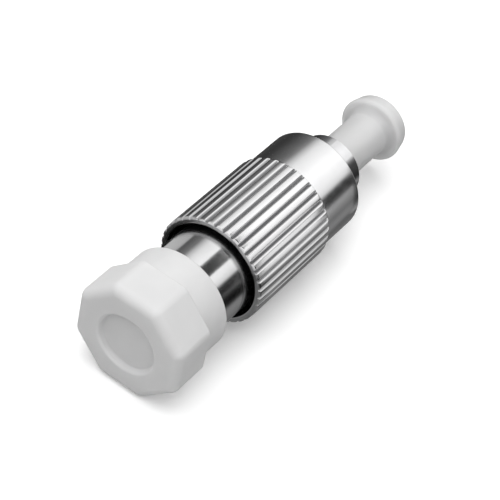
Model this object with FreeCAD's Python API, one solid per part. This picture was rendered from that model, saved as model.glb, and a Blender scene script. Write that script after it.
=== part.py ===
"""In-line fibre attenuator with a female port at one end and a spring-loaded plug at the other.

Millimetres, +Z up. The part lies on its side: its axis runs along X, from the dust cap on the port to the
dust cap on the plug's ferrule. The origin is below the middle of the overall length, on the surface
that the fluted nut lies on. Stations named x_... are distances along the axis from the port's face.
"""

import FreeCAD
import Part
import math
import os

# Mating sizes. With the walls and gaps below they give the standard 6 mm nose and M8 x 0.75 thread.
ferrule_diameter = 2.5
ferrule_length = 10.5
ferrule_tip_chamfer = 0.35
ferrule_travel = 1.0
fibre_diameter = 0.125
thread_depth = 0.4
key_width = 2.0
key_length = 1.7
key_height = 0.45
key_edge_round = 0.15

# Clearances, each on the radius or on one face
sleeve_grip_gap = 0.02
seated_gap = 0.02
sliding_gap = 0.05
loose_gap = 0.1
mating_gap = 0.15
spring_gap = 0.2

# Barrel, which carries the female port
port_wall = 1.0
port_bore_depth = 6.2
port_thread_length = 5.4
barrel_edge_chamfer = 0.25
keyway_length = 4.4
partition_thickness = 1.2

# Split alignment sleeve, the tube that holds it, and the ring that locks that tube in the barrel
sleeve_length = 11.4
sleeve_wall = 0.33
sleeve_slot_width = 0.5
sleeve_end_play = 0.3
holder_wall = 0.55
holder_mouth_recess = 0.7
holder_mouth_chamfer = 0.3
holder_lip_length = 0.45
holder_flange_thickness = 1.0
lock_ring_length = 2.0
lock_ring_slot_width = 0.8
lock_ring_slot_depth = 0.6

# Spring and its seat. The wire is square, which keeps its long sweep light.
spring_seat_thickness = 0.65
spring_wire = 0.4
spring_turns = 4.0

# Tube that joins the two ferrules, with the collar that the spring pushes
tube_wall = 0.35
tube_front_grip = 2.2
resin_length = 2.15
collar_length = 3.0
collar_notch_width = 0.8
collar_notch_depth = 0.4

# Plug frame: threaded tail, neck, shoulder and keyed nose
tail_wall = 0.6
neck_step = 0.15
neck_length = 4.5
shoulder_thickness = 1.0
nose_length = 4.7
nose_bore_depth = 4.28
nose_wall = 0.65
nose_edge_chamfer = 0.25
seat_wall_thickness = 1.0

# Coupling nut
nut_length = 15.15
nut_rear_gap = 0.55
nut_rear_wall = 0.45
nut_rear_bevel_length = 0.42
nut_rear_bevel_depth = 0.22
nut_band_length = 4.95
nut_band_step = 0.29
nut_front_chamfer = 0.3
nut_mouth_chamfer = 0.4
nut_land_length = 0.8
nose_reveal = 2.85
flute_count = 36
flute_width = 0.36
flute_depth = 0.26

# Snap ring that holds the nut on the neck
snap_ring_thickness = 0.55
snap_ring_width = 0.6
snap_ring_opening_deg = 36.0

# Dust cap on the port: an eight-sided grip and a round skirt. The grip is as wide as the nut.
port_cap_sides = 8
port_cap_length = 7.05
port_cap_grip_length = 4.0
port_cap_end_wall = 1.4
port_cap_wall = 0.62
port_cap_edge_round = 0.9
port_cap_dish_diameter = 6.0
port_cap_dish_slope = 0.4
port_cap_dish_depth = 0.65

# Dust cap on the ferrule: a tube that widens into a tapered button
tip_cap_wall = 0.77
tip_cap_mouth_overlap = 1.4
tip_cap_neck_length = 6.1
tip_cap_button_length = 1.7
tip_cap_button_overhang = 1.08
tip_cap_button_taper = 0.34
tip_cap_edge_break = 0.2
tip_cap_bore_spare = 0.4

# Radii that mating pieces share, from the ferrule outwards
ferrule_r = ferrule_diameter / 2
sleeve_bore_r = ferrule_r + sleeve_grip_gap
sleeve_r = sleeve_bore_r + sleeve_wall
holder_bore_r = sleeve_r + sliding_gap
holder_r = holder_bore_r + holder_wall
lip_r = ferrule_r + mating_gap
nose_bore_r = holder_r + mating_gap
nose_r = nose_bore_r + nose_wall
port_bore_r = nose_r + sliding_gap / 2
barrel_r = nose_r + port_wall
port_thread_r = barrel_r - sliding_gap
tube_r = ferrule_r + tube_wall
spring_mean_r = tube_r + spring_gap + spring_wire / 2
collar_r = spring_mean_r + spring_wire / 2 + loose_gap
chamber_r = collar_r + loose_gap
tail_r = chamber_r + tail_wall
body_bore_r = tail_r + seated_gap
neck_r = tail_r + neck_step
snap_ring_r = neck_r + loose_gap
nut_thread_r = barrel_r - thread_depth
shoulder_r = nut_thread_r - loose_gap
nut_bore_r = barrel_r + nut_rear_gap
nut_r = nut_bore_r + nut_rear_wall
band_r = nut_r - nut_band_step
skirt_r = barrel_r + sliding_gap + port_cap_wall
tip_cap_r = ferrule_r + seated_gap + tip_cap_wall

# Stations along the axis, from the port's face
x_partition = port_bore_depth
x_holder_flange = x_partition + partition_thickness
x_lock_ring = x_holder_flange + holder_flange_thickness
x_holder_mouth = holder_mouth_recess
x_lip_end = x_holder_mouth + holder_mouth_chamfer + holder_lip_length
x_sleeve = x_lip_end + sleeve_end_play
x_sleeve_end = x_sleeve + sleeve_length
x_optical_plane = x_sleeve + sleeve_length / 2
x_rear_ferrule_end = x_optical_plane + ferrule_length
x_spring_seat = x_sleeve_end + sleeve_end_play
x_spring = x_spring_seat + spring_seat_thickness
x_tube = x_spring + ferrule_travel + spring_gap
x_front_ferrule = x_rear_ferrule_end + resin_length
x_ferrule_tip = x_front_ferrule + ferrule_length
x_collar_front = x_front_ferrule + tube_front_grip
x_collar = x_collar_front - collar_length
x_seat_wall = x_collar_front + seated_gap
x_cavity_floor = x_seat_wall + seat_wall_thickness
x_nose_front = x_cavity_floor + nose_bore_depth
x_nose = x_nose_front - nose_length
x_shoulder = x_nose - shoulder_thickness
x_barrel_end = x_shoulder - neck_length
x_nut_front = x_nose_front - nose_reveal
x_nut_rear = x_nut_front - nut_length
x_nut_shoulder = x_barrel_end + loose_gap
x_snap_groove = x_nut_shoulder + nut_land_length
x_snap_ring = x_snap_groove + sliding_gap
x_tip_cap_mouth = x_nose_front - tip_cap_mouth_overlap
x_button = x_nose_front + tip_cap_neck_length
x_tip_cap_end = x_button + tip_cap_button_length
x_port_cap_front = -port_cap_end_wall

# The row frame: the axis lies one nut radius above the surface, and the overall length is centred
axis_height = nut_r
middle = (x_port_cap_front + x_tip_cap_end) / 2
TO_ROW_FRAME = FreeCAD.Vector(-middle, 0, axis_height)
AXIS = FreeCAD.Vector(1, 0, 0)
ORIGIN = FreeCAD.Vector(0, 0, 0)


def turned(*outline):
    """A solid of revolution about the axis. The outline's points are (station, radius), in order round it."""
    points = [FreeCAD.Vector(x, 0, r) for x, r in outline]
    face = Part.Face(Part.makePolygon(points + points[:1]))
    return face.revolve(ORIGIN, AXIS, 360)


def tube(x_start, x_end, inner_r, outer_r):
    """A plain tube, or a rod where the inner radius is 0."""
    return turned((x_start, inner_r), (x_end, inner_r), (x_end, outer_r), (x_start, outer_r))


def block(x_start, x_end, width, z_low, z_high):
    """A block centred across the axis, used for keys, slots and notches."""
    corner = FreeCAD.Vector(x_start, -width / 2, z_low)
    return Part.makeBox(x_end - x_start, width, z_high - z_low, corner)


def about_axis(shape, degrees):
    """A copy of the shape turned about the axis."""
    copy = shape.copy()
    copy.rotate(ORIGIN, AXIS, degrees)
    return copy


def port_barrel():
    """Turned barrel: threaded port with a keyed bore, a partition, and the bore that takes the plug frame."""
    c = barrel_edge_chamfer
    shape = turned(
        (0, port_bore_r + c), (0, port_thread_r - c), (c, port_thread_r),
        (port_thread_length, port_thread_r), (port_thread_length, barrel_r),
        (x_barrel_end, barrel_r), (x_barrel_end, body_bore_r),
        (x_holder_flange, body_bore_r), (x_holder_flange, holder_r + seated_gap),
        (x_partition, holder_r + seated_gap), (x_partition, port_bore_r), (c, port_bore_r),
    )
    return shape.cut(block(-1, keyway_length, key_width + 2 * loose_gap, 0, 2 * barrel_r))


def sleeve_holder():
    """Flanged tube round the alignment sleeve, with a funnel mouth that guides the mating ferrule."""
    flange_r = body_bore_r - seated_gap
    c = holder_mouth_chamfer
    return turned(
        (x_holder_mouth, lip_r + c), (x_holder_mouth, holder_r), (x_holder_flange, holder_r),
        (x_holder_flange, flange_r), (x_lock_ring, flange_r),
        (x_lock_ring, holder_r), (x_spring_seat, holder_r), (x_spring_seat, holder_bore_r),
        (x_lip_end, holder_bore_r), (x_lip_end, lip_r), (x_holder_mouth + c, lip_r),
    )


def split_sleeve():
    """Ceramic sleeve, slotted along its whole length so that it grips both ferrules."""
    shape = tube(x_sleeve, x_sleeve_end, sleeve_bore_r, sleeve_r)
    return shape.cut(block(x_sleeve - 1, x_sleeve_end + 1, sleeve_slot_width, 0, 2 * sleeve_r))


def sleeve_lock_ring():
    """Ring that locks the sleeve holder's flange against the partition, with two driver slots."""
    shape = tube(x_lock_ring, x_lock_ring + lock_ring_length, holder_r + seated_gap, body_bore_r - seated_gap)
    x_end = x_lock_ring + lock_ring_length
    return shape.cut(block(x_end - lock_ring_slot_depth, x_end + 1, lock_ring_slot_width, -barrel_r, barrel_r))


def spring_seat():
    """Washer that closes the sleeve holder and takes the spring's push."""
    return tube(x_spring_seat, x_spring, ferrule_r + loose_gap, body_bore_r - loose_gap)


def ferrule_spring():
    """Compression spring, between its seat and the ferrule tube's collar."""
    wire_r = spring_wire / 2
    margin = wire_r + seated_gap
    height = x_collar - x_spring - 2 * margin
    helix = Part.makeHelix(height / spring_turns, height, spring_mean_r)
    corners = [(-1, -1), (1, -1), (1, 1), (-1, 1), (-1, -1)]
    section = Part.makePolygon([FreeCAD.Vector(spring_mean_r + a * wire_r, 0, b * wire_r) for a, b in corners])
    coil = Part.Wire(helix.Edges).makePipeShell([section], True, True)
    coil.rotate(ORIGIN, FreeCAD.Vector(0, 1, 0), 90)
    coil.translate(FreeCAD.Vector(x_spring + margin, 0, 0))
    return coil


def plug_frame():
    """Frame of the plug: a tail screwed into the barrel, the neck that the nut slides on, and the keyed nose."""
    c = nose_edge_chamfer
    shape = turned(
        (x_spring, chamber_r), (x_spring, tail_r), (x_barrel_end, tail_r), (x_barrel_end, neck_r),
        (x_shoulder, neck_r), (x_shoulder, shoulder_r), (x_nose, shoulder_r),
        (x_nose, nose_r), (x_nose_front - c, nose_r), (x_nose_front, nose_r - c),
        (x_nose_front, nose_bore_r), (x_cavity_floor, nose_bore_r),
        (x_cavity_floor, ferrule_r + loose_gap), (x_seat_wall, ferrule_r + loose_gap),
        (x_seat_wall, chamber_r),
    )
    lug = block(x_collar_front - collar_length / 2, x_seat_wall, collar_notch_width - 2 * sliding_gap,
                collar_r - collar_notch_depth + sliding_gap, (chamber_r + neck_r) / 2)
    return shape.fuse([alignment_key(), lug]).removeSplitter()


def alignment_key():
    """The key on the nose that fits a port's keyway, with rounded top edges."""
    top = nose_r + key_height
    key = block(x_nose - shoulder_thickness / 2, x_nose + key_length, key_width, nose_r - key_height, top)
    long_edges = [e for e in key.Edges if e.BoundBox.ZMin > top - 1e-6 and e.BoundBox.XLength > 1e-6]
    return key.makeFillet(key_edge_round, long_edges)


def ferrule(x_start, tip_end):
    """Ceramic ferrule with the fibre's bore through it. tip_end is +1 or -1, the way its polished end faces."""
    x_end = x_start + ferrule_length
    c = ferrule_tip_chamfer
    bore_r = fibre_diameter / 2
    low_c, high_c = (0, c) if tip_end > 0 else (c, 0)
    outline = [(x_start, bore_r), (x_end, bore_r), (x_end, ferrule_r - high_c)]
    outline += [(x_end - high_c, ferrule_r)] if high_c else []
    outline += [(x_start + low_c, ferrule_r)]
    outline += [(x_start, ferrule_r - low_c)] if low_c else []
    return turned(*outline)


def ferrule_tube():
    """Metal tube pressed over the inner ends of both ferrules, with the notched collar that the spring pushes."""
    shape = turned(
        (x_tube, ferrule_r), (x_tube, tube_r), (x_collar, tube_r),
        (x_collar, collar_r), (x_collar_front, collar_r), (x_collar_front, ferrule_r),
    )
    notch = block(x_collar_front - collar_length / 2 - loose_gap, x_collar_front + 1, collar_notch_width,
                  collar_r - collar_notch_depth, 2 * collar_r)
    return shape.cut([about_axis(notch, quarter * 90) for quarter in range(4)])


def epoxy_core():
    """The resin that fills the tube between the ferrules and fixes the fibre."""
    return tube(x_rear_ferrule_end, x_front_ferrule, fibre_diameter / 2, ferrule_r)


def attenuating_fibre():
    """The doped fibre that runs through both ferrules, from polished face to polished face."""
    return tube(x_optical_plane, x_ferrule_tip, 0, fibre_diameter / 2)


def nut_snap_ring():
    """Open ring in the nut's inner groove. It slides on the neck and catches the frame's shoulder."""
    shape = tube(x_snap_ring, x_snap_ring + snap_ring_thickness, snap_ring_r, snap_ring_r + snap_ring_width)
    reach = 2 * (snap_ring_r + snap_ring_width)
    half = math.radians(snap_ring_opening_deg / 2)
    corners = [(0, 0), (-reach * math.sin(half), -reach), (reach * math.sin(half), -reach)]
    points = [FreeCAD.Vector(x_snap_ring - 1, y, z) for y, z in corners]
    wedge = Part.Face(Part.makePolygon(points + points[:1])).extrude(AXIS * (snap_ring_thickness + 2))
    return shape.cut(wedge)


def nut_blank():
    """The turned nut before its flutes: wide rear bore, snap ring groove, and the threaded mouth."""
    groove_r = snap_ring_r + snap_ring_width + loose_gap
    x_band = x_nut_front - nut_band_length
    x_groove_end = x_snap_groove + snap_ring_thickness + 2 * sliding_gap
    return turned(
        (x_nut_rear, nut_bore_r), (x_nut_rear, nut_r - nut_rear_bevel_depth),
        (x_nut_rear + nut_rear_bevel_length, nut_r), (x_band, nut_r),
        (x_band, band_r), (x_nut_front - nut_front_chamfer, band_r),
        (x_nut_front, band_r - nut_front_chamfer), (x_nut_front, nut_thread_r + nut_mouth_chamfer),
        (x_nut_front - nut_mouth_chamfer, nut_thread_r), (x_groove_end, nut_thread_r), (x_groove_end, groove_r),
        (x_snap_groove, groove_r), (x_snap_groove, nut_thread_r), (x_nut_shoulder, nut_thread_r),
        (x_nut_shoulder, nut_bore_r),
    )


def flute_cutter():
    """The bar that cuts one straight flute, from the nut's rear end up to its smooth band."""
    above = nut_r + flute_depth
    corners = [(0, nut_r - flute_depth), (flute_width, above), (-flute_width, above)]
    x_start = x_nut_rear - 1
    points = [FreeCAD.Vector(x_start, y, z) for y, z in corners]
    length = nut_length - nut_band_length + 1
    return Part.Face(Part.makePolygon(points + points[:1])).extrude(AXIS * length)


def coupling_nut():
    """Coupling nut: straight flutes for the fingers, a smooth band at the front, and the coupling thread inside."""
    pitch = 360 / flute_count
    cutter = flute_cutter()
    return nut_blank().cut([about_axis(cutter, (i + 0.5) * pitch) for i in range(flute_count)])


def rounded_polygon(x, sides, apothem, corner_round):
    """A face across the axis: a regular polygon with a flat at the bottom and rounded corners."""
    half_turn = math.pi / sides
    corner_r = apothem / math.cos(half_turn)
    cut_back = corner_round * math.tan(half_turn)
    arc_depth = corner_round * (1 / math.cos(half_turn) - 1)
    edges = []
    ends = []
    for i in range(sides):
        a = -math.pi / 2 + half_turn * (2 * i + 1)
        out = FreeCAD.Vector(0, math.cos(a), math.sin(a))
        corner = FreeCAD.Vector(x, 0, 0) + out * corner_r
        before, after = (FreeCAD.Vector(0, math.sin(a + s * half_turn), -math.cos(a + s * half_turn)) for s in (-1, 1))
        start, end = corner + before * cut_back, corner - after * cut_back
        edges.append(Part.Arc(start, corner - out * arc_depth, end).toShape())
        ends.append((start, end))
    for i, (start, end) in enumerate(ends):
        edges.append(Part.LineSegment(end, ends[(i + 1) % sides][0]).toShape())
    return Part.Face(Part.Wire(Part.__sortEdges__(edges)))


def port_dust_cap():
    """Moulded cap on the port: an eight-sided grip with a dished end, and a round skirt over the thread."""
    x_front = x_port_cap_front
    x_rim = x_front + port_cap_length
    grip = rounded_polygon(x_front, port_cap_sides, nut_r, port_cap_edge_round)
    grip = grip.extrude(AXIS * port_cap_grip_length)
    front_edges = [e for e in grip.Edges if e.BoundBox.XMax < x_front + 1e-6]
    grip = grip.makeFillet(port_cap_edge_round, front_edges)
    skirt = tube(x_front + port_cap_grip_length / 2, x_rim, 0, skirt_r)
    shape = grip.fuse(skirt)
    dish_r = port_cap_dish_diameter / 2
    x_floor = x_front + port_cap_dish_depth
    dish = turned((x_front, 0), (x_floor, 0), (x_floor, dish_r - port_cap_dish_slope), (x_front, dish_r))
    return shape.cut([dish, tube(-sliding_gap, x_rim + 1, 0, barrel_r + sliding_gap)]).removeSplitter()


def ferrule_dust_cap():
    """Moulded cap on the ferrule: a tube that widens into a button, tapered towards its end."""
    button_r = tip_cap_r + tip_cap_button_overhang
    end_r = button_r - tip_cap_button_taper
    c = tip_cap_edge_break
    root = tip_cap_button_overhang - c
    rise = root * (1 - math.sqrt(0.5))
    return turned(
        (x_tip_cap_mouth, ferrule_r + seated_gap), (x_tip_cap_mouth, tip_cap_r), (x_button - root, tip_cap_r),
        (x_button - rise, tip_cap_r + rise), (x_button, tip_cap_r + root),
        (x_button + c, button_r), (x_tip_cap_end - c, end_r), (x_tip_cap_end, end_r - c), (x_tip_cap_end, 0),
        (x_ferrule_tip + tip_cap_bore_spare, 0), (x_ferrule_tip + tip_cap_bore_spare, ferrule_r + seated_gap),
    )


PIECES = {
    "port_dust_cap": port_dust_cap,
    "port_barrel": port_barrel,
    "sleeve_holder": sleeve_holder,
    "split_sleeve": split_sleeve,
    "sleeve_lock_ring": sleeve_lock_ring,
    "spring_seat": spring_seat,
    "ferrule_spring": ferrule_spring,
    "plug_frame": plug_frame,
    "rear_ferrule": lambda: ferrule(x_optical_plane, -1),
    "front_ferrule": lambda: ferrule(x_front_ferrule, 1),
    "ferrule_tube": ferrule_tube,
    "epoxy_core": epoxy_core,
    "attenuating_fibre": attenuating_fibre,
    "nut_snap_ring": nut_snap_ring,
    "coupling_nut": coupling_nut,
    "ferrule_dust_cap": ferrule_dust_cap,
}


def main():
    os.makedirs("parts", exist_ok=True)
    for name, make in PIECES.items():
        solid = make()
        solid.translate(TO_ROW_FRAME)
        solid.exportStep(f"parts/{name}.step")
        box = solid.BoundBox
        print(f"{name}: {len(solid.Solids)} solid, valid {solid.isValid()}, {solid.Volume:.2f} mm3, "
              f"x {box.XMin:.2f} to {box.XMax:.2f}, z {box.ZMin:.2f} to {box.ZMax:.2f}")


main()
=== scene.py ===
"""Looks for an in-line fibre attenuator: moulded caps, a fluted nut, cut threads and a wire spring."""
import math

import bpy
from mathutils import Matrix, Vector


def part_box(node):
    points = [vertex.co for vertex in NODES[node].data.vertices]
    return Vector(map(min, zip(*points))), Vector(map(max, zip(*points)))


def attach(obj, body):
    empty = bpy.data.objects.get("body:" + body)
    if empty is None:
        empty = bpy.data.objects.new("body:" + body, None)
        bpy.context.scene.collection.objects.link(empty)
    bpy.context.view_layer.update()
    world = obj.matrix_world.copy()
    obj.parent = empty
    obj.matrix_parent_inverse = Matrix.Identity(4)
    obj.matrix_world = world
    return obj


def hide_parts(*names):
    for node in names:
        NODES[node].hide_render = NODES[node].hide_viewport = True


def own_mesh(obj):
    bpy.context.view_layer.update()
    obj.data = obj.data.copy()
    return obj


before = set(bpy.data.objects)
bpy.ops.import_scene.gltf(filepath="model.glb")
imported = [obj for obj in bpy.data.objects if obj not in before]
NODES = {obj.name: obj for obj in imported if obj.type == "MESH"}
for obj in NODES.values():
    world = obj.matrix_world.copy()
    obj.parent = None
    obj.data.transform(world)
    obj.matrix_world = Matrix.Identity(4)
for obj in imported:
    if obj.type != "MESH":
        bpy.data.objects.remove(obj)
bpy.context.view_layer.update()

MM = 0.001
PORT_FACE_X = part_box("port_barrel")[0].x
AXIS_Z = (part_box("coupling_nut")[0].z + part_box("coupling_nut")[1].z) / 2


def station_of(x):
    """Millimetres along the axis from the port's face, for an x of the row frame."""
    return (x - PORT_FACE_X) / MM


def span(node):
    """Where a CAD node starts and ends along the axis, and its largest radius, in millimetres."""
    low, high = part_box(node)
    return station_of(low.x), station_of(high.x), (high.y - low.y) / 2 / MM


# Stations along the axis, radii and lengths in millimetres, the same as the solids'
BARREL_END, BARREL_R = span("port_barrel")[1:]
NUT_REAR, NUT_FRONT, NUT_R = span("coupling_nut")
BAND_START = 19.8
CAP_FRONT, CAP_RIM, CAP_R = span("port_dust_cap")
TIP_MOUTH, TIP_END, BUTTON_R = span("ferrule_dust_cap")
SPRING_START = span("spring_seat")[1]
SPRING_LENGTH = 5.2
THREAD_PITCH = 0.75
THREAD_DEPTH = 0.36

# Edges that turn more than this stay sharp in the shading
SHARP_EDGE = math.radians(35)
ON_AXIS = 1e-6


def place(station, y, z):
    """A point of the row frame in metres, from millimetres along and across the part's axis."""
    return (PORT_FACE_X + station * MM, y * MM, AXIS_Z + z * MM)


def on_circle(station, radius, angle):
    """A point round the axis, in millimetres, with the angle from +Y towards +Z."""
    return (station, radius * math.cos(angle), radius * math.sin(angle))


def rounded(corners, steps):
    """An outline through its corners, (station, radius) or (station, radius, round), with true arcs.
    The first and last corners stay as they are."""
    points = []
    for i, corner in enumerate(corners):
        here = corner[:2]
        reach = corner[2] if len(corner) > 2 else 0
        if not reach:
            points.append(here)
            continue
        before = corners[i - 1][:2]
        after = corners[i + 1][:2]
        length_in = math.dist(before, here)
        length_out = math.dist(here, after)
        back = [(b - h) / length_in for b, h in zip(before, here)]
        ahead = [(a - h) / length_out for a, h in zip(after, here)]
        opening = math.acos(max(-1, min(1, back[0] * ahead[0] + back[1] * ahead[1])))
        cut = reach / math.tan(opening / 2)
        start = [h + b * cut for h, b in zip(here, back)]
        end = [h + a * cut for h, a in zip(here, ahead)]
        weight = math.sin(opening / 2)
        for k in range(steps + 1):
            t = k / steps
            shares = ((1 - t) ** 2, 2 * t * (1 - t) * weight, t * t)
            spots = zip(start, here, end)
            points.append(tuple(sum(w * v for w, v in zip(shares, spot)) / sum(shares) for spot in spots))
    return points


def turned(outline, angles):
    """Rings of a turned shape, with points at the given angles. An outline point on the axis is a pole."""
    return [[on_circle(s, r, a) for a in angles] if r > ON_AXIS else [(s, 0, 0)] for s, r in outline]


def skin(rings, closed=False):
    """Points and faces over rings of equal length. A ring of one point is a pole.
    closed joins the last ring to the first."""
    points = [p for ring in rings for p in ring]
    starts = [sum(len(r) for r in rings[:i]) for i in range(len(rings))]
    pairs = [(i, i + 1) for i in range(len(rings) - 1)]
    if closed:
        pairs.append((len(rings) - 1, 0))
    faces = []
    for a, b in pairs:
        count = max(len(rings[a]), len(rings[b]))
        for j in range(count):
            k = (j + 1) % count
            if len(rings[a]) == 1:
                faces.append((starts[a], starts[b] + k, starts[b] + j))
            elif len(rings[b]) == 1:
                faces.append((starts[a] + j, starts[a] + k, starts[b]))
            else:
                faces.append((starts[a] + j, starts[a] + k, starts[b] + k, starts[b] + j))
    return points, faces


def add_mesh(name, points, faces, material):
    """A mesh object in the scene, from points in metres."""
    mesh = bpy.data.meshes.new(name)
    mesh.from_pydata(points, [], faces)
    mesh.materials.append(material)
    obj = bpy.data.objects.new(name, mesh)
    bpy.context.scene.collection.objects.link(obj)
    return obj


def new_piece(name, points, faces, material, body, slot, *nodes):
    """A smooth-shaded piece from points along and across the axis, on a body, in place of CAD nodes."""
    obj = add_mesh(name, [place(*p) for p in points], faces, material)
    obj.data.validate()
    for polygon in obj.data.polygons:
        polygon.use_smooth = True
    obj.data.set_sharp_from_angle(angle=SHARP_EDGE)
    normals = obj.modifiers.new("even_shading", "WEIGHTED_NORMAL")
    normals.keep_sharp = True
    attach(obj, body)
    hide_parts(*nodes)
    return obj


class Graph:
    """A short way to write a material's or the world's nodes."""

    def __init__(self, name="", tree=None):
        self.material = tree or bpy.data.materials.new(name)
        self.material.use_nodes = True
        self.nodes = self.material.node_tree.nodes
        self.links = self.material.node_tree.links
        self.shader = self.nodes.get("Principled BSDF")

    def node(self, kind, inputs=None, **settings):
        """A node with its settings, and with its inputs linked or set."""
        made = self.nodes.new(kind)
        for key, value in settings.items():
            setattr(made, key, value)
        for key, value in (inputs or {}).items():
            if isinstance(value, bpy.types.NodeSocket):
                self.links.new(value, made.inputs[key])
            else:
                made.inputs[key].default_value = value
        return made

    def math(self, operation, a, b=0.0):
        return self.node("ShaderNodeMath", {0: a, 1: b}, operation=operation).outputs[0]

    def ramp(self, value, start, end, low=0.0, high=1.0):
        """low where the value is at its start and high at its end, straight in between."""
        inputs = {"Value": value, "From Min": start, "From Max": end, "To Min": low, "To Max": high}
        return self.node("ShaderNodeMapRange", inputs).outputs[0]

    def spread(self, noise, low, high):
        """A noise brought to a range, from the two levels between which nearly all of it lies."""
        common_low = 0.3
        common_high = 0.7
        return self.ramp(noise, common_low, common_high, low, high)

    def zone(self, value, start, full, full_end, end):
        """1 from full to full_end, and 0 before the start and after the end."""
        return self.math("MULTIPLY", self.ramp(value, start, full), self.ramp(value, end, full_end))

    def noise(self, vector, scale, detail=3.0, roughness=0.5):
        inputs = {"Vector": vector, "Scale": scale, "Detail": detail, "Roughness": roughness}
        return self.node("ShaderNodeTexNoise", inputs).outputs[0]

    def place(self):
        return self.node("ShaderNodeTexCoord").outputs["Object"]

    def along_and_out(self):
        """(distance along the axis, distance from the axis, 0), for marks that a lathe leaves."""
        split = self.node("ShaderNodeSeparateXYZ", {0: self.place()}).outputs
        up = self.math("SUBTRACT", split[2], AXIS_Z)
        square = self.math("ADD", self.math("MULTIPLY", split[1], split[1]), self.math("MULTIPLY", up, up))
        out = self.math("SQRT", square)
        return self.node("ShaderNodeCombineXYZ", {0: split[0], 1: out}).outputs[0]

    def shade_zone(self, lathe_marks, stations, radii):
        """A zone of a turned piece, from four stations and four radii in millimetres."""
        split = self.node("ShaderNodeSeparateXYZ", {0: lathe_marks}).outputs
        along = self.zone(split[0], *(PORT_FACE_X + s * MM for s in stations))
        return self.math("MULTIPLY", along, self.zone(split[1], *(r * MM for r in radii)))

    def mix(self, factor, low, high):
        """A colour between two, each a socket or red, green and blue."""
        first, second = [c if isinstance(c, bpy.types.NodeSocket) else (*c, 1) for c in (low, high)]
        colour_a, colour_b, colour_result = 6, 7, 2
        inputs = {0: factor, colour_a: first, colour_b: second}
        return self.node("ShaderNodeMix", inputs, data_type="RGBA").outputs[colour_result]

    def bump(self, height, strength, distance):
        inputs = {"Height": height, "Strength": strength, "Distance": distance}
        normal = self.node("ShaderNodeBump", inputs).outputs[0]
        self.links.new(normal, self.shader.inputs["Normal"])

    def put(self, **values):
        """Links or sets inputs of the material's shader."""
        for key, value in values.items():
            socket = self.shader.inputs[key.replace("_", " ")]
            if isinstance(value, bpy.types.NodeSocket):
                self.links.new(value, socket)
            else:
                socket.default_value = value


def plated(name, dark, light, smooth, rough, turning, shade_zones=()):
    """Nickel plate over turned brass: fine rings left by the lathe, faint clouds, and soft wipe marks.
    The last argument lists zones of painted shade, darker and duller: four stations, four radii and a grey."""
    cloud_share = 0.7
    shade_roughness = 0.15
    cool_tint = 0.005
    g = Graph(name)
    lathe_marks = g.along_and_out()
    rings = g.noise(lathe_marks, scale=14000, detail=2.0)
    clouds = g.noise(g.place(), scale=420, detail=4.0, roughness=0.6)
    wipes = g.noise(g.place(), scale=1500, detail=2.0)
    wipe_part = g.math("MULTIPLY", wipes, 1 - cloud_share)
    blend = g.math("ADD", g.math("MULTIPLY", clouds, cloud_share), wipe_part)
    colour = g.mix(g.spread(clouds, 0.0, 1.0), dark, light)
    roughness = g.spread(blend, smooth, rough)
    # Painted shade: each zone darkens the plate's colour and dulls it
    for stations, radii, shade_grey in shade_zones:
        share = g.shade_zone(lathe_marks, stations, radii)
        colour = g.mix(share, colour, (shade_grey, shade_grey, shade_grey + cool_tint))
        roughness = g.math("ADD", roughness, g.math("MULTIPLY", share, shade_roughness))
    g.put(Metallic=1.0, Base_Color=colour, Roughness=roughness)
    g.bump(rings, strength=turning, distance=0.00001)
    return g.material


def polyethylene(name, low, high, depth, weight, smooth, rough, gloss):
    """Soft moulded polyethylene: light goes a little way in, and the mould's texture breaks the gloss."""
    g = Graph(name)
    clouds = g.noise(g.place(), scale=260)
    grain = g.noise(g.place(), scale=9000, detail=2.0)
    patches = g.noise(g.place(), scale=1100)
    g.put(Base_Color=g.mix(g.spread(clouds, 0.0, 1.0), low, high))
    g.put(Roughness=g.spread(patches, smooth, rough), Specular_IOR_Level=gloss, IOR=1.5)
    g.put(Subsurface_Weight=weight, Subsurface_Radius=(depth, depth, depth), Subsurface_Scale=1.0)
    g.bump(grain, strength=0.12, distance=0.00002)
    return g.material


def ceramic(name, low, high):
    """Ground zirconia: ivory, dense and glossy, with the faint rings of centreless grinding."""
    g = Graph(name)
    rings = g.noise(g.along_and_out(), scale=22000, detail=2.0)
    clouds = g.noise(g.place(), scale=600)
    g.put(Base_Color=g.mix(g.spread(clouds, 0.0, 1.0), low, high))
    g.put(Roughness=g.spread(rings, 0.12, 0.26), IOR=2.0)
    g.put(Subsurface_Weight=0.25, Subsurface_Radius=(0.0006, 0.0005, 0.0004), Subsurface_Scale=1.0)
    g.bump(rings, strength=0.08, distance=0.000005)
    return g.material


def resin(name):
    """Cured amber resin, clear at the edge and cloudy inside."""
    g = Graph(name)
    clouds = g.noise(g.place(), scale=1800, detail=4.0)
    g.put(Base_Color=g.mix(g.spread(clouds, 0.0, 1.0), (0.42, 0.24, 0.07), (0.62, 0.42, 0.18)))
    g.put(Roughness=g.spread(clouds, 0.12, 0.3), IOR=1.55)
    g.put(Subsurface_Weight=0.4, Subsurface_Radius=(0.001, 0.0006, 0.0003), Subsurface_Scale=1.0)
    g.bump(clouds, strength=0.1, distance=0.00001)
    return g.material


def silica(name):
    """The doped glass fibre, a hair's width of clear silica."""
    g = Graph(name)
    drift = g.noise(g.place(), scale=2500, detail=2.0)
    g.put(Base_Color=g.mix(g.spread(drift, 0.0, 1.0), (0.9, 0.93, 0.96), (0.96, 0.98, 1.0)))
    g.put(Roughness=g.spread(drift, 0.02, 0.06), Transmission_Weight=0.8, IOR=1.46)
    return g.material
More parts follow.
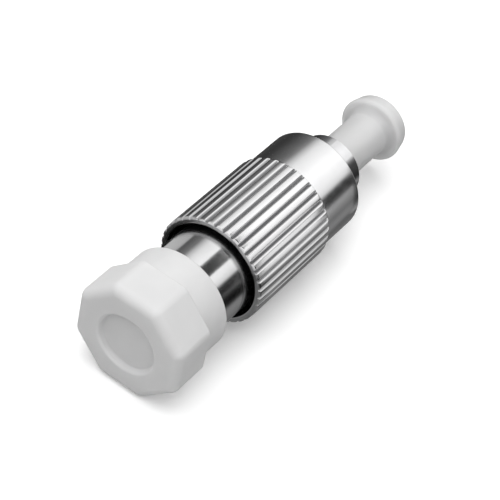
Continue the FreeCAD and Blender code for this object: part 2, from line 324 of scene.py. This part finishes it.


# Zones of painted shade on the plate, darker and duller: the stations and radii where each starts, is full,
# is still full and ends, and its grey.
# Painted shade on the barrel where it runs into the nut's rim
NUT_RIM_SHADE = ([NUT_REAR + step for step in (-0.9, -0.1, 0.5, 1.5)], (3.5, 3.6, 4.2, 4.3), 0.16)
# Painted shade in the flutes' grooves: the plate below the crests is darker and duller
FLUTE_GROOVE_SHADE = ((NUT_REAR + 0.02, NUT_REAR + 0.1, BAND_START - 0.2, BAND_START - 0.05),
             (4.5, 4.6, 4.89, 4.97), 0.46)
# Painted shade on the nut's rear end face, standing in for its dark reflection
REAR_FACE_SHADE = ([NUT_REAR + step for step in (-0.2, -0.1, 0.02, 0.1)], (4.52, 4.6, 4.84, 4.9), 0.62)

PLATE_BARREL = plated("plate_barrel", (0.8, 0.8, 0.805), (0.86, 0.86, 0.865),
                      smooth=0.1, rough=0.17, turning=0.06, shade_zones=[NUT_RIM_SHADE])
PLATE_NUT = plated("plate_nut", (0.88, 0.88, 0.885), (0.93, 0.93, 0.935),
                   smooth=0.13, rough=0.21, turning=0.05, shade_zones=[FLUTE_GROOVE_SHADE, REAR_FACE_SHADE])
PLATE_FRAME = plated("plate_frame", (0.78, 0.78, 0.79), (0.84, 0.84, 0.85),
                     smooth=0.1, rough=0.2, turning=0.06)
PLATE_INNER = plated("plate_inner", (0.7, 0.7, 0.71), (0.78, 0.78, 0.79),
                     smooth=0.22, rough=0.36, turning=0.12)
SPRING_STEEL = plated("spring_steel", (0.5, 0.5, 0.51), (0.62, 0.62, 0.63),
                      smooth=0.24, rough=0.38, turning=0.05)
CAP_PLASTIC = polyethylene("cap_polyethylene", (0.7, 0.7, 0.702), (0.74, 0.74, 0.74),
                           depth=0.0011, weight=0.45, smooth=0.42, rough=0.56, gloss=0.5)
TIP_PLASTIC = polyethylene("tip_polyethylene", (0.63, 0.63, 0.633), (0.68, 0.68, 0.68),
                           depth=0.0026, weight=0.9, smooth=0.28, rough=0.4, gloss=1.0)
FERRULE_CERAMIC = ceramic("ferrule_zirconia", (0.86, 0.85, 0.81), (0.92, 0.91, 0.88))
SLEEVE_CERAMIC = ceramic("sleeve_zirconia", (0.83, 0.82, 0.77), (0.89, 0.88, 0.84))
RESIN = resin("amber_resin")
SILICA = silica("doped_silica")

NODE_MATERIALS = {
    "sleeve_holder": PLATE_INNER, "sleeve_lock_ring": PLATE_INNER, "spring_seat": PLATE_INNER,
    "ferrule_tube": PLATE_INNER, "plug_frame": PLATE_FRAME, "nut_snap_ring": SPRING_STEEL,
    "split_sleeve": SLEEVE_CERAMIC, "rear_ferrule": FERRULE_CERAMIC, "front_ferrule": FERRULE_CERAMIC,
    "epoxy_core": RESIN, "attenuating_fibre": SILICA, "port_barrel": PLATE_BARREL,
    "coupling_nut": PLATE_NUT, "port_dust_cap": CAP_PLASTIC, "ferrule_dust_cap": TIP_PLASTIC,
    "ferrule_spring": SPRING_STEEL,
}
for node_name, node_material in NODE_MATERIALS.items():
    NODES[node_name].data.materials.clear()
    NODES[node_name].data.materials.append(node_material)


def port_cap():
    """The port's dust cap: an eight-sided grip with soft edges, a dished end, and a round skirt."""
    sides = 8
    side_angle = 2 * math.pi / sides
    flat_steps = 12
    arc_steps = 7
    corner = 0.9
    smallest_corner = 0.05

    def grip_ring(station, inset):
        """The grip's outline, drawn in all round by an inset."""
        apothem = CAP_R - inset
        arc_r = max(corner - inset, smallest_corner)
        half_flat = (apothem - arc_r) * math.tan(side_angle / 2)
        corner_out = (apothem - arc_r) / math.cos(side_angle / 2)
        ring = []
        for side in range(sides):
            a = -math.pi / 2 + side * side_angle
            for k in range(flat_steps + 1):
                t = (2 * k / flat_steps - 1) * half_flat
                y = apothem * math.cos(a) - t * math.sin(a)
                ring.append((station, y, apothem * math.sin(a) + t * math.cos(a)))
            middle = a + side_angle / 2
            for k in range(1, arc_steps):
                b = a + side_angle * k / arc_steps
                y = corner_out * math.cos(middle) + arc_r * math.cos(b)
                ring.append((station, y, corner_out * math.sin(middle) + arc_r * math.sin(b)))
        return ring

    angles = [math.atan2(z, y) for _, y, z in grip_ring(0, 0)]
    dish_floor = CAP_FRONT + 0.55
    dish_r = 2.58
    dish_mouth_r = 2.7
    dish = [(dish_floor, 0), (dish_floor, 1.2), (dish_floor, dish_r, 0.16),
            (CAP_FRONT, dish_mouth_r, 0.3), (CAP_FRONT, 3.5)]
    rings = turned(rounded(dish, steps=7), angles)
    front_round = 0.85
    front_steps = 10
    for k in range(front_steps + 1):
        a = math.pi / 2 * k / front_steps
        inset = front_round * (1 - math.sin(a))
        rings.append(grip_ring(CAP_FRONT + front_round * (1 - math.cos(a)), inset))
    grip_back = CAP_FRONT + 4.0
    back_round = 0.12
    back_steps = 4
    for k in range(back_steps + 1):
        a = math.pi / 2 * k / back_steps
        inset = back_round * (1 - math.cos(a))
        rings.append(grip_ring(grip_back - back_round * (1 - math.sin(a)), inset))
    skirt_r = 4.67
    root_r = skirt_r + 0.14
    bore_r = 4.05
    bore_end = -0.05
    skirt = [(grip_back, root_r), (grip_back, skirt_r, 0.1), (CAP_RIM, skirt_r, 0.24),
             (CAP_RIM, bore_r, 0.12), (bore_end, bore_r, 0.1), (bore_end, 0)]
    rings += turned(rounded(skirt, steps=5), angles)
    points, faces = skin(rings)
    new_piece("port_cap_moulding", points, faces, CAP_PLASTIC, "port_cap", "cap_plastic", "port_dust_cap")


def tip_cap():
    """The ferrule's dust cap: a tube with a soft rim that swells into a tapered button."""
    columns = 128
    angles = [2 * math.pi * j / columns for j in range(columns)]
    neck_r = 2.04
    bore_r = 1.27
    bore_end = 31.0
    button_start = 33.7
    end_r = 2.78
    outline = [(bore_end, 0), (bore_end, bore_r, 0.15), (TIP_MOUTH, bore_r, 0.1), (TIP_MOUTH, neck_r, 0.25),
               (button_start, neck_r, 0.68), (button_start, BUTTON_R, 0.32), (TIP_END, end_r, 0.4),
               (TIP_END, 0)]
    points, faces = skin(turned(rounded(outline, steps=8), angles))
    new_piece("tip_cap_moulding", points, faces, TIP_PLASTIC,
              "ferrule_cap", "tip_cap_plastic", "ferrule_dust_cap")


def thread_wave(station, angle):
    """How deep a 60 degree thread is at a point, from 0 at its flat crest to 1 at its flat root."""
    flank_slope = 3.0
    root_level = 1.35
    phase = (station / THREAD_PITCH - angle / (2 * math.pi)) % 1
    return min(1, max(0, root_level - flank_slope * abs(phase - 0.5)))


def fade(station, start, end, run):
    """0 outside a stretch of thread and 1 inside it, with a short run-in at each end."""
    return max(0, min(1, (station - start) / run, (end - station) / run))


def nut():
    """The coupling nut: straight flutes with soft crest ends, a smooth band, and a thread in its mouth."""
    flutes = 36
    pitch = 2 * math.pi / flutes
    half_pitch = NUT_R * pitch / 2
    groove_depth = 0.26
    groove_half = 0.17
    vee_half = 0.15
    crown = 0.018
    # How far the crest's edge is eased, at distances from the flute's middle
    easing = {0.165: 0.024, 0.195: 0.006, 0.22: 0.001}
    across = (0, 0.05, 0.1, 0.14, *easing, 0.26, 0.31, 0.37)

    def flute_cut(w):
        """Depth at a distance from the flute's middle: a vee, an eased edge, then a crowned crest."""
        if w < vee_half:
            return crown + (groove_depth - crown) * (1 - w / groove_half)
        return crown * ((half_pitch - w) / (half_pitch - groove_half)) ** 2 + easing.get(w, 0)

    shape = [(w / NUT_R, flute_cut(w)) for w in across]
    columns = []
    for i in range(flutes):
        centre = (i + 0.5) * pitch
        columns += [(centre + a, cut) for a, cut in shape]
        columns += [(centre + pitch / 2, 0)]
        columns += [(centre + pitch - a, cut) for a, cut in reversed(shape[1:])]
    angles = [a for a, _ in columns]

    def fluted(station, crest):
        return [on_circle(station, min(crest, NUT_R - cut), a) for a, cut in columns]

    bore_r = 4.46
    lip_r = 4.56
    face_r = 4.58
    bevel_r = 4.8
    bevel_end = NUT_REAR + 0.13
    rear = [(NUT_REAR, bore_r), (NUT_REAR, bevel_r, 0.06), (bevel_end, NUT_R, 0.1), (BAND_START, NUT_R)]
    rings = [fluted(NUT_REAR, face_r)] + [fluted(s, r) for s, r in rounded(rear, steps=4)[1:-1]]

    band_r = 4.71
    crest_end = 0.36
    end_steps = 8
    for k in range(end_steps + 1):
        a = math.pi / 2 * k / end_steps
        s = BAND_START - crest_end + crest_end * math.sin(a)
        rings.append(fluted(s, band_r + (NUT_R - band_r) * math.cos(a)))

    minor_r = 3.6
    mouth_r = 4.0
    mouth_end = NUT_FRONT - 0.4
    band = [(BAND_START + 0.02, band_r), (NUT_FRONT, band_r, 0.3), (NUT_FRONT, mouth_r, 0.05),
            (mouth_end, minor_r)]
    rings += turned(rounded(band, steps=6), angles)

    thread_start = 19.1
    thread_end = 24.5
    run_in = 0.3
    rows = 60
    for k in range(rows + 1):
        s = thread_end - (thread_end - thread_start) * k / rows
        depth = THREAD_DEPTH * fade(s, thread_start, thread_end + run_in, run_in)
        rings.append([on_circle(s, minor_r + depth * thread_wave(s, a), a) for a in angles])

    groove_front = 18.95
    groove_back = 18.3
    groove_r = 3.95
    bore_end = 17.5
    inner = [(groove_front, minor_r), (groove_front, groove_r, 0.05), (groove_back, groove_r, 0.05),
             (groove_back, minor_r, 0.03), (bore_end, minor_r, 0.08), (bore_end, bore_r, 0.15),
             (NUT_REAR, bore_r, 0.05), (NUT_REAR, lip_r)]
    rings += turned(rounded(inner, steps=3), angles)
    points, faces = skin(rings, closed=True)
    new_piece("nut_plated", points, faces, PLATE_NUT, "nut", "plated_nut", "coupling_nut")


def barrel():
    """The turned barrel, with a thread cut on its port, a relief groove behind it, and the keyway."""
    key_half = 1.1
    keyway_end = 4.4
    thread_r = 3.95
    thread_start = 0.12
    thread_end = 4.95
    run_in = 0.25
    chamfer = 0.25
    port_bore = 3.025
    open_columns = 120
    key_columns = 8
    columns = open_columns + key_columns
    slot_rows = 108

    def column_angle(j, radius):
        """A column's angle at a radius. The last columns lie across the keyway, with its parallel walls."""
        key_angle = math.asin(key_half / radius)
        if j <= open_columns:
            return math.pi / 2 + key_angle + (2 * math.pi - 2 * key_angle) * j / open_columns
        return math.pi / 2 - key_angle + 2 * key_angle * (j - open_columns) / key_columns

    def ring(station, radius, threaded=False):
        found = []
        for j in range(columns):
            r = radius
            if threaded:
                wave = thread_wave(station, column_angle(j, radius))
                r -= THREAD_DEPTH * wave * fade(station, thread_start, thread_end, run_in)
            found.append(on_circle(station, r, column_angle(j, r)))
        return found

    slot_stations = [keyway_end * k / slot_rows for k in range(slot_rows + 1)]
    outer = [ring(s, thread_r - max(0, chamfer - s), True) for s in slot_stations]
    row_step = 0.04
    rows_past_slot = 10
    outer += [ring(keyway_end + row_step * k, thread_r, True) for k in range(1, rows_past_slot + 1)]

    relief_start = 4.86
    relief_end = 5.4
    relief_r = thread_r - 0.3
    tail_bore = 3.02
    partition_start = 6.2
    partition_end = 7.4
    partition_r = 2.22
    port_bore_start = 4.5
    tail = [(relief_start, relief_r), (relief_end, relief_r, 0.05), (relief_end, BARREL_R, 0.15),
            (BARREL_END, BARREL_R, 0.15), (BARREL_END, tail_bore, 0.06), (partition_end, tail_bore),
            (partition_end, partition_r), (partition_start, partition_r, 0.05),
            (partition_start, port_bore, 0.1), (port_bore_start, port_bore)]
    middle = [ring(s, r) for s, r in rounded(tail, steps=4)]
    inner = [ring(s, port_bore + max(0, chamfer - s)) for s in slot_stations]
    rings = outer + middle + inner[::-1]
    points = [p for r in rings for p in r]
    last = len(rings) - 1
    slot_rings = {*range(slot_rows), *range(len(rings) - slot_rows, len(rings))}

    def at(i, j):
        """The point at ring i and column j."""
        return i * columns + j % columns

    faces = []
    for i in range(len(rings)):
        n = (i + 1) % len(rings)
        for j in range(columns):
            in_keyway = j >= open_columns and (i in slot_rings or n in slot_rings)
            if not in_keyway:
                faces.append((at(i, j), at(i, j + 1), at(n, j + 1), at(n, j)))
    for i in range(slot_rows):
        for j in (0, open_columns):
            wall = (at(i, j), at(i + 1, j), at(last - i - 1, j), at(last - i, j))
            faces.append(wall if j else wall[::-1])
    for j in range(open_columns, columns):
        inner_row = last - slot_rows
        faces.append((at(inner_row, j), at(inner_row, j + 1), at(slot_rows, j + 1), at(slot_rows, j)))
    new_piece("barrel_plated", points, faces, PLATE_BARREL, "housing", "plated_body", "port_barrel")


def spring():
    """The round-wire spring, with its end turns closed against the seat and the collar."""
    wire_r = 0.2
    mean_r = 2.0
    turns = 6.5
    closed_turns = 1.0
    closed_gap = 1.02
    closed_rise = 2 * wire_r * closed_gap
    steps_per_turn = 40
    around = 12
    low = SPRING_START + wire_r
    high = SPRING_START + SPRING_LENGTH - wire_r
    rise = (high - low - 2 * closed_rise * closed_turns) / (turns - 2 * closed_turns)

    def height(t):
        """Station of the wire's centre after t turns."""
        if t < closed_turns:
            return low + closed_rise * t
        if t > turns - closed_turns:
            return high - closed_rise * (turns - t)
        return low + closed_rise * closed_turns + rise * (t - closed_turns)

    rings = [[on_circle(low, mean_r, 0)]]
    for i in range(int(turns * steps_per_turn) + 1):
        t = i / steps_per_turn
        ring = []
        for k in range(around):
            b = 2 * math.pi * k / around
            station = height(t) + wire_r * math.sin(b)
            ring.append(on_circle(station, mean_r + wire_r * math.cos(b), 2 * math.pi * t))
        rings.append(ring)
    rings.append([on_circle(high, mean_r, 2 * math.pi * turns)])
    points, faces = skin(rings)
    obj = new_piece("spring_coil", points, faces, SPRING_STEEL,
                    "housing", "spring_steel", "ferrule_spring")
    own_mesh(obj)


port_cap()
tip_cap()
nut()
barrel()
spring()

# The floor and the world look white, and send less light back to matt surfaces
FLOOR_SEEN = (0.97, 0.97, 0.97)
FLOOR_RETURN = (0.65, 0.65, 0.65)
SKY_LEVEL = 0.4
# The floor's own light for the camera, (metres from the part, level): white far away, where the lamp fades
FLOOR_LIFT = ((0.1, 0.2), (0.4, 0.75))


def seen_directly(g):
    """1 for what the camera sees, straight, mirrored or through glass, and 0 for light on matt surfaces."""
    rays = g.node("ShaderNodeLightPath").outputs
    mirrored = g.math("ADD", rays["Is Glossy Ray"], rays["Is Transmission Ray"])
    return g.math("MINIMUM", g.math("ADD", rays["Is Camera Ray"], mirrored), 1.0)


def floor():
    """A plain white floor that keeps the object's shadow."""
    g = Graph("floor_white")
    g.put(Base_Color=g.mix(seen_directly(g), FLOOR_RETURN, FLOOR_SEEN))
    g.put(Roughness=0.9, Specular_IOR_Level=0.1)
    away = g.node("ShaderNodeVectorMath", {0: g.place()}, operation="LENGTH").outputs["Value"]
    (near, near_level), (far, far_level) = FLOOR_LIFT
    amount = g.ramp(away, near, far, near_level, far_level)
    lift = g.node("ShaderNodeEmission", {"Strength": g.math("MULTIPLY", seen_directly(g), amount)})
    both = g.node("ShaderNodeAddShader", {0: g.shader.outputs[0], 1: lift.outputs[0]})
    g.links.new(both.outputs[0], g.nodes["Material Output"].inputs["Surface"])
    reach = 3.0
    corners = [(-reach, -reach, 0), (reach, -reach, 0), (reach, reach, 0), (-reach, reach, 0)]
    obj = add_mesh("floor", corners, [(0, 1, 2, 3)], g.material)


def studio_world():
    """A white world with a calmer share of light for matt surfaces."""
    world = bpy.data.worlds.new("studio")
    bpy.context.scene.world = world
    g = Graph(tree=world)
    level = g.ramp(seen_directly(g), 0.0, 1.0, SKY_LEVEL, 1.0)
    background = g.nodes["Background"]
    background.inputs["Color"].default_value = (1, 1, 1, 1)
    g.links.new(level, background.inputs["Strength"])


def lamp(name, location, target, size, energy):
    """A soft square lamp. Polished metal shows the cards and not the lamp."""
    data = bpy.data.lights.new(name, "AREA")
    data.shape = "SQUARE"
    data.size = size
    data.energy = energy
    data.color = (1, 1, 1)
    obj = bpy.data.objects.new(name, data)
    bpy.context.scene.collection.objects.link(obj)
    direction = [t - l for t, l in zip(target, location)]
    obj.location = location
    obj.rotation_euler = Vector(direction).to_track_quat("-Z", "Y").to_euler()
    obj.visible_glossy = False


def seen_level(grey):
    """The linear level that shows as a grey from 0 to 1 on screen."""
    return ((grey + 0.055) / 1.055) ** 2.4


def card_material(name, across, stops):
    """Emission through grey levels, by the angle round the axis in degrees or by y in millimetres."""
    g = Graph(name)
    split = g.node("ShaderNodeSeparateXYZ", {0: g.place()}).outputs
    low = stops[0][0]
    high = stops[-1][0]
    if across == "angle":
        up = g.math("SUBTRACT", split[2], AXIS_Z)
        from_top = g.math("ARCTAN2", g.math("MULTIPLY", split[1], -1.0), up)
        share = g.ramp(from_top, math.radians(low - 90), math.radians(high - 90))
    else:
        share = g.ramp(split[1], low * MM, high * MM)
    ramp = g.node("ShaderNodeValToRGB", {0: share})
    elements = ramp.color_ramp.elements
    elements.remove(elements[0])
    for i, (at, grey) in enumerate(stops):
        position = (at - low) / (high - low)
        element = elements[0] if i == 0 else elements.new(position)
        element.position = position
        light = seen_level(grey)
        element.color = (light, light, light, 1)
    emission = g.node("ShaderNodeEmission", {"Color": ramp.outputs[0]})
    g.nodes.remove(g.shader)
    g.links.new(emission.outputs[0], g.nodes["Material Output"].inputs["Surface"])
    return g.material


def show_to_metal_only(name, points, faces, material):
    """A card that only reflections see: it neither lights nor shades anything."""
    obj = add_mesh(name, points, faces, material)
    obj.visible_camera = False
    obj.visible_diffuse = False
    obj.visible_shadow = False
    obj.visible_transmission = False
    obj.visible_volume_scatter = False


def arc_card(name, radius, ends, sweep, stops):
    """A curved card round the axis, between two x and two angles, with (degrees, grey) stops."""
    steps = 60
    x_start, x_end = [x * MM for x in ends]
    first, last = sweep
    points = []
    for i in range(steps + 1):
        a = math.radians(first + (last - first) * i / steps)
        y = radius * math.cos(a) * MM
        z = AXIS_Z + radius * math.sin(a) * MM
        points += [(x_start, y, z), (x_end, y, z)]
    faces = [(2 * i, 2 * i + 1, 2 * i + 3, 2 * i + 2) for i in range(steps)]
    show_to_metal_only(name, points, faces, card_material(name, "angle", stops))


def floor_card(name, height, ends_low, ends_high, stops):
    """A flat card just over the floor: its two x at its lowest and highest y, and (y, grey) stops."""
    low = stops[0][0]
    high = stops[-1][0]
    corners = [(ends_low[0], low), (ends_low[1], low), (ends_high[1], high), (ends_high[0], high)]
    points = [(x * MM, y * MM, height * MM) for x, y in corners]
    show_to_metal_only(name, points, [(0, 1, 2, 3)], card_material(name, "y", stops))


floor()
studio_world()
lamp("overhead", location=(-0.05, 0.03, 0.45), target=(0, 0, 0), size=0.5, energy=2.0)

# The cards, in millimetres: a wide tent with its floor, and near ones for the barrel, flutes and nose
TENT_R = 150
NEAR_R = 16
NOSE_R = 8
TENT_ENDS = (-150, 320)
arc_card("tent", TENT_R, TENT_ENDS, (-2, 182), [
    (0, 0.23), (14, 0.3), (34, 0.4), (44, 0.48), (54, 0.78), (64, 0.93), (84, 1.0), (94, 1.04),
    (104, 1.06), (114, 1.06), (124, 1.02), (140, 0.97), (152, 0.87), (158, 0.17), (172, 0.14), (180, 0.3),
])
arc_card("barrel_left", NEAR_R, (-20, 2.4), (-18, 30), [(0, 0.75), (26, 0.72), (30, 0.6)])
arc_card("barrel_top", NEAR_R, (-20, 2.0), (95, 123), [(95, 0.4), (100, 0.21), (117, 0.21), (123, 0.4)])
floor_card("tent_floor", 0.02, TENT_ENDS, TENT_ENDS, [
    (-150, 0.6), (-60, 0.6), (-33, 0.58), (-20, 0.5), (-14, 0.42), (-10, 0.5), (-8.7, 0.5), (-7.2, 0.36),
    (-5, 0.38), (-3.6, 0.48), (3, 0.4), (9, 0.27), (15, 0.24), (32, 0.21), (150, 0.23),
])
floor_card("barrel_floor_left", 0.04, (-40, 116), (-40, -2.5), [
    (-150, 0.24), (-71, 0.24), (-31, 0.1), (-18.4, 0.04), (-13.5, 0.2), (-10, 0.5), (-8, 0.5),
    (-6.5, 0.47), (-3.6, 0.4),
])
floor_card("barrel_floor_right", 0.04, (-40, -2.6), (-40, 8), [(3, 0.08), (17, 0.1), (18, 0.1)])
arc_card("flutes_left", NEAR_R, (2.6, 12.0), (152, 198), [
    (150, 0.95), (172, 0.93), (180, 0.78), (188, 0.5), (198, 0.36),
])
floor_card("flutes_floor_left", 0.06, (4.4, 13.4), (0.1, 9.2), [(-15.4, 0.42), (-10.5, 0.36)])
arc_card("nose_left", NOSE_R, (11.4, 17), (134, 214), [
    (134, 0.9), (140, 0.62), (146, 0.38), (154, 0.26), (172, 0.23), (188, 0.15), (196, 0.22),
    (206, 0.48), (214, 0.62),
])


def camera():
    """The photograph's point of view, from the camera's own directions and its place in millimetres."""
    data = bpy.data.cameras.new("view")
    data.lens = 135.55
    data.sensor_width = 36
    data.clip_start = 0.01
    data.clip_end = 10
    obj = bpy.data.objects.new("view", data)
    right = (0.57649, -0.79916, 0.17053)
    up = (0.50987, 0.51492, 0.68915)
    back = (-0.63853, -0.31037, 0.70432)
    spot = (-101.73 * MM, -48.93 * MM, 113.81 * MM)
    rows = [(right[i], up[i], back[i], spot[i]) for i in range(3)]
    obj.matrix_world = Matrix([*rows, (0, 0, 0, 1)])
    bpy.context.scene.collection.objects.link(obj)
    bpy.context.scene.camera = obj


camera()
bpy.context.scene.view_settings.view_transform = "Standard"
